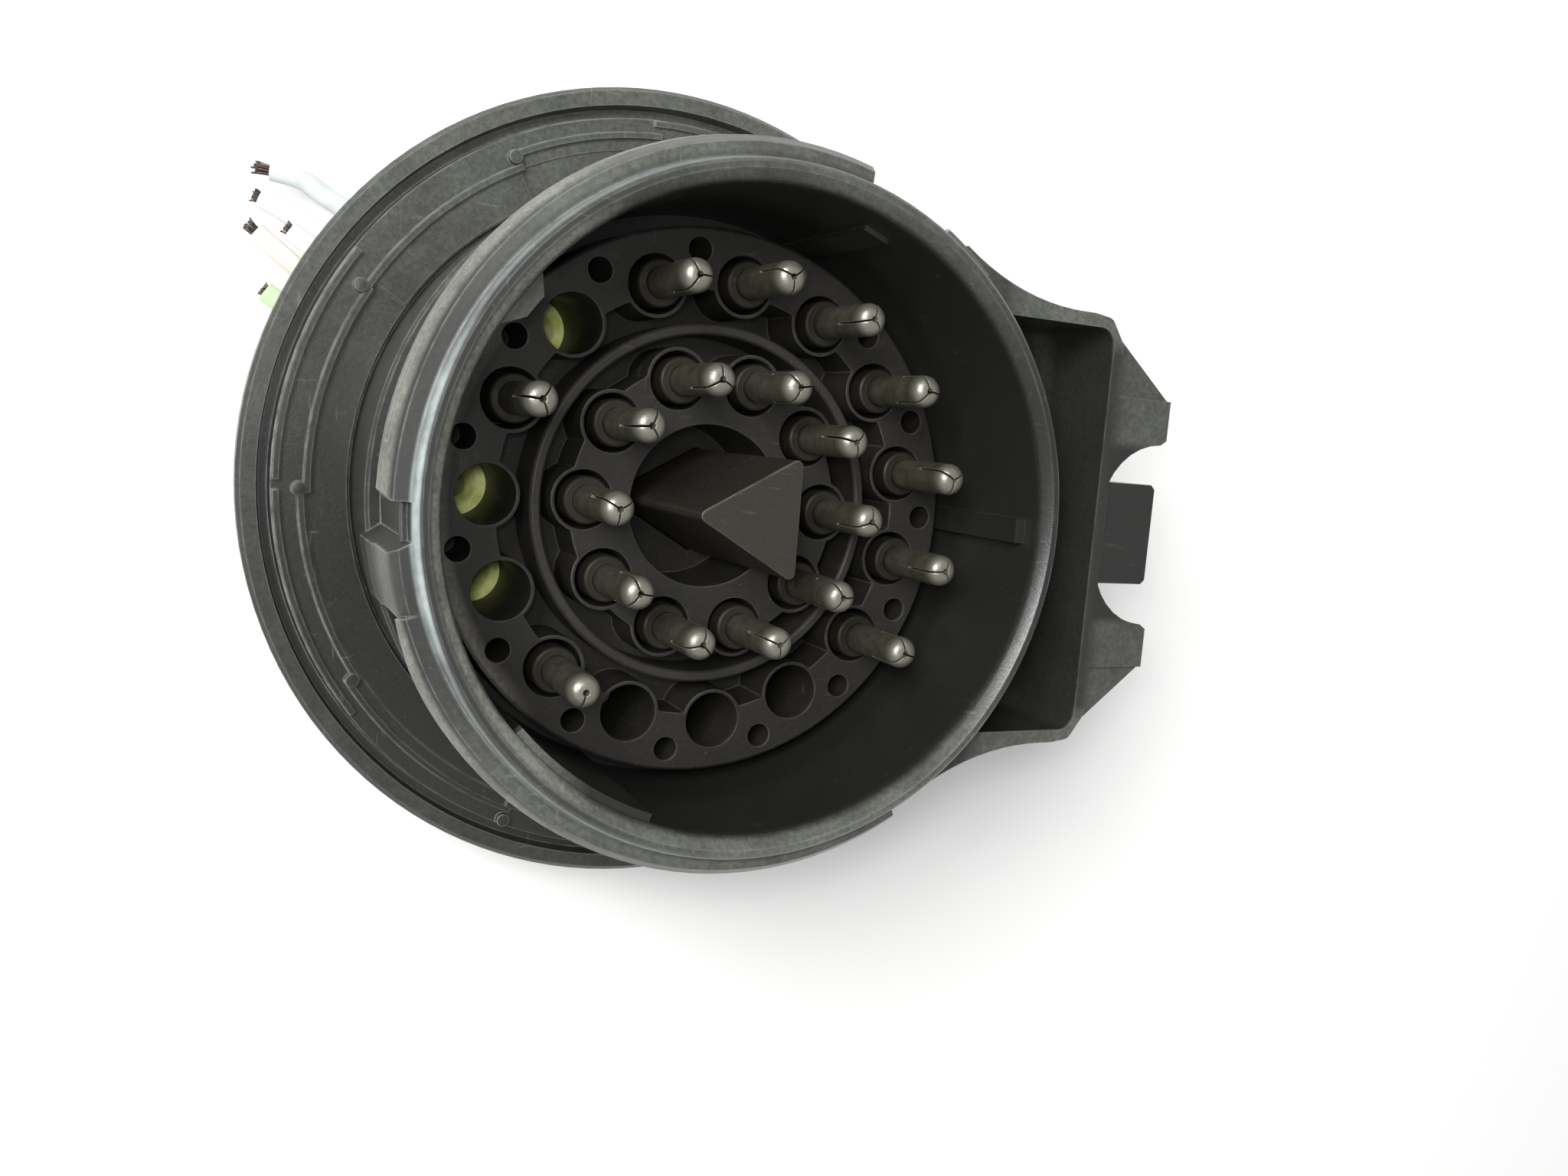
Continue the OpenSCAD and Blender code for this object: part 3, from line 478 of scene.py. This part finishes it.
def smooth_route(points, count):
    """Points spread evenly along a rounded line through the given ones, and its length."""
    fine = rounded_line(points)
    along = [0.0]
    for a, b in zip(fine, fine[1:]):
        along.append(along[-1] + (b - a).length)
    spread, j = [], 0
    for i in range(count):
        want = along[-1] * i / (count - 1)
        while j < len(fine) - 2 and along[j + 1] < want:
            j += 1
        share = (want - along[j]) / max(along[j + 1] - along[j], 1e-9)
        spread.append(fine[j].lerp(fine[j + 1], min(max(share, 0), 1)))
    return spread, along[-1]


def tube(name, points, radius, material):
    """A round closed tube as a curve through the points, which are in metres."""
    data = bpy.data.curves.new(name, "CURVE")
    data.dimensions = "3D"
    data.bevel_depth = radius
    data.bevel_resolution = 5
    data.use_fill_caps = True
    data.resolution_u = 3
    spline = data.splines.new("BEZIER")
    last = len(points) - 1
    spline.bezier_points.add(last)
    for i, (q, b) in enumerate(zip(points, spline.bezier_points)):
        # A handle is a third of a span, and inner points lie between two spans
        lean = (points[min(i + 1, last)] - points[max(i - 1, 0)]) / (6 if 0 < i < last else 3)
        b.handle_left_type = b.handle_right_type = "FREE"
        b.co, b.handle_left, b.handle_right = q, q - lean, q + lean
    data.materials.append(material)
    obj = link_object(bpy.data.objects.new(name, data))
    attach(obj, "root")
    return obj


def strand_bundle(name, end, direction, seed, reach):
    """The bare strands that stand out of a cut wire end, fanned a little."""
    rng = random.Random(seed)
    inside = STRAND_INSIDE * MM
    bm = bmesh.new()
    z = direction.normalized()
    x = z.orthogonal().normalized()
    y = z.cross(x)

    def around(a, radius):
        return (x * math.cos(a) + y * math.sin(a)) * radius * MM

    for ring_r, count in STRAND_RINGS:
        for k in range(count):
            off = around(2 * math.pi * k / count + rng.uniform(-0.1, 0.1), ring_r)
            length = reach * rng.uniform(0.7, 1.0) * MM
            splay = (off * rng.uniform(0.1, 0.6)
                     + (x * rng.uniform(-1, 1) + y * rng.uniform(-1, 1)) * STRAND_STRAY * MM)
            rings = []
            for s in range(STRAND_SPANS + 1):
                t = s / STRAND_SPANS
                centre = end + off - z * inside + z * (length + inside) * t + splay * t * t
                corners = (2 * math.pi * j / STRAND_SIDES for j in range(STRAND_SIDES))
                rings.append([bm.verts.new(centre + around(a, STRAND_R)) for a in corners])
            for lower, upper in zip(rings, rings[1:]):
                for j in range(STRAND_SIDES):
                    after = (j + 1) % STRAND_SIDES
                    bm.faces.new((lower[j], lower[after], upper[after], upper[j]))
            bm.faces.new(rings[-1])
            bm.faces.new(rings[0][::-1])
    mesh = bpy.data.meshes.new(name)
    bm.to_mesh(mesh)
    bm.free()
    for poly in mesh.polygons:
        poly.use_smooth = len(poly.vertices) == 4
    mesh.materials.append(COPPER)
    obj = link_object(bpy.data.objects.new(name, mesh))
    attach(obj, "root")
    return obj


def make_wires():
    for seed, (name, place, slot, reach, route) in enumerate(WIRES, start=11):
        points = [(*place, CRIMP_END), (*place, SEAL_MID), (*place, RETAINER_UNDER), *route]
        spread, length = smooth_route(points, ROUTE_POINTS)
        spread = [q * MM for q in spread]
        obj = tube(name + "_insulation", spread, WIRE_R * MM, INSULATION[slot])
        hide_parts(name)
        strands = strand_bundle(name + "_strands", spread[-1], spread[-1] - spread[-2], seed, reach)
        length * MM


make_wires()


# Rounded edges and materials on the CAD nodes
def soften_group():
    """Geometry nodes that drop stored normals and mark every edge above SHARP as sharp."""
    group = bpy.data.node_groups.new("shade_by_angle", "GeometryNodeTree")
    group.interface.new_socket("Geometry", in_out="INPUT", socket_type="NodeSocketGeometry")
    group.interface.new_socket("Geometry", in_out="OUTPUT", socket_type="NodeSocketGeometry")
    start = add(group, "NodeGroupInput")
    end = add(group, "NodeGroupOutput")
    drop = add(group, "GeometryNodeRemoveAttribute", Name="custom_normal")
    faces = add(group, "GeometryNodeSetShadeSmooth", domain="FACE")
    edges = add(group, "GeometryNodeSetShadeSmooth", domain="EDGE")
    edges.inputs["Shade Smooth"].default_value = False
    angle = add(group, "GeometryNodeInputMeshEdgeAngle")
    sharp = add(group, "FunctionNodeCompare", data_type="FLOAT", operation="GREATER_THAN")
    sharp.inputs["B"].default_value = SHARP
    link = group.links.new
    link(start.outputs[0], drop.inputs["Geometry"])
    link(drop.outputs[0], faces.inputs["Geometry"])
    link(faces.outputs[0], edges.inputs["Geometry"])
    link(angle.outputs["Unsigned Angle"], sharp.inputs["A"])
    link(sharp.outputs[0], edges.inputs["Selection"])
    link(edges.outputs[0], end.inputs[0])
    return group


SHADE = soften_group()


def soften(node, width):
    """Round the edges of a node by a width in millimetres, and keep its flat faces flat."""
    modifiers = NODES[node].modifiers
    modifiers.new("weld", "WELD").merge_threshold = 0.001 * MM
    flat = modifiers.new("flat", "DECIMATE")
    flat.decimate_type = "DISSOLVE"
    flat.angle_limit = FLAT
    bevel = modifiers.new("bevel", "BEVEL")
    bevel.width = width * MM
    bevel.segments = 2
    bevel.limit_method = "ANGLE"
    bevel.angle_limit = CREASE
    bevel.use_clamp_overlap = True
    bevel.miter_outer = "MITER_ARC"
    modifiers.new("shade", "NODES").node_group = SHADE
    modifiers.new("even", "WEIGHTED_NORMAL").keep_sharp = True


def dress(node, material):
    slots = NODES[node].data.materials
    slots.clear()
    slots.append(material)


# Each node's material and the width of its rounded edges
LOOKS = {"housing": (HOUSING, 0.2), "rear_shell": (HOUSING, 0.12),
         "contact_carrier": (CARRIER, 0.08), "key_post": (KEY, 0.15), "lock_ring": (LOCK, 0.06),
         "rear_seal": (SEAL, 0.08), "seal_retainer": (RETAINER, 0.1)}
LOOKS.update({f"pin_{k:02d}": (METAL, PIN_EDGE) for k in range(1, PIN_COUNT + 1)})
for node_name, (material, edge_width) in LOOKS.items():
    dress(node_name, material)
    soften(node_name, edge_width)
STUB_SLOTS = ("wire_white", "wire_blue", "wire_brown", "wire_green")
for k in range(len(WIRES) + 1, PIN_COUNT + 1):
    dress(f"wire_{k:02d}", INSULATION[STUB_SLOTS[k % len(STUB_SLOTS)]])


# Floor and light
def make_floor():
    """A pale floor that shows white away from the object and keeps its shadow."""
    bm = bmesh.new()
    bmesh.ops.create_grid(bm, x_segments=1, y_segments=1, size=FLOOR_HALF)
    mesh = bpy.data.meshes.new("floor")
    bm.to_mesh(mesh)
    bm.free()
    floor = link_object(bpy.data.objects.new("floor", mesh))
    floor.location.z = -FLOOR_DROP
    look = Look("floor_white", Roughness=0.9, Base_Color=(0.88, 0.88, 0.86),
                Emission_Color=(1, 1, 1))
    path = add(look.tree, "ShaderNodeLightPath").outputs
    camera, glossy, through = (Field(look.tree, path[f"Is {kind} Ray"])
                               for kind in ("Camera", "Glossy", "Transmission"))
    away = look.places(SHADOW_CENTRE)[3].rise(GLOW_START, GLOW_END, 0, GLOW)
    look.set(Emission_Strength=camera.greatest(glossy.greatest(through)) * away)
    mesh.materials.append(look.mat)


def area_light(name, place, aim, size, watts, in_gloss):
    data = bpy.data.lights.new(name, "AREA")
    data.shape = "RECTANGLE"
    data.size, data.size_y = size
    data.energy = watts
    lamp = link_object(bpy.data.objects.new(name, data))
    lamp.location = place
    lamp.rotation_mode = "QUATERNION"
    lamp.rotation_quaternion = (Vector(aim) - Vector(place)).to_track_quat("-Z", "Y")
    lamp.visible_camera = False
    lamp.visible_glossy = in_gloss


def make_light():
    """An even sky, a window at the upper left and two small lamps above the object."""
    world = bpy.data.worlds.new("world")
    world.use_nodes = True
    sky = world.node_tree.nodes["Background"].inputs
    feed(sky["Color"], SKY_COLOUR)
    feed(sky["Strength"], SKY_STRENGTH)
    bpy.context.scene.world = world
    for name, settings in LAMPS.items():
        area_light(name, *settings)


make_floor()
make_light()
bpy.context.scene.view_settings.view_transform = "Standard"
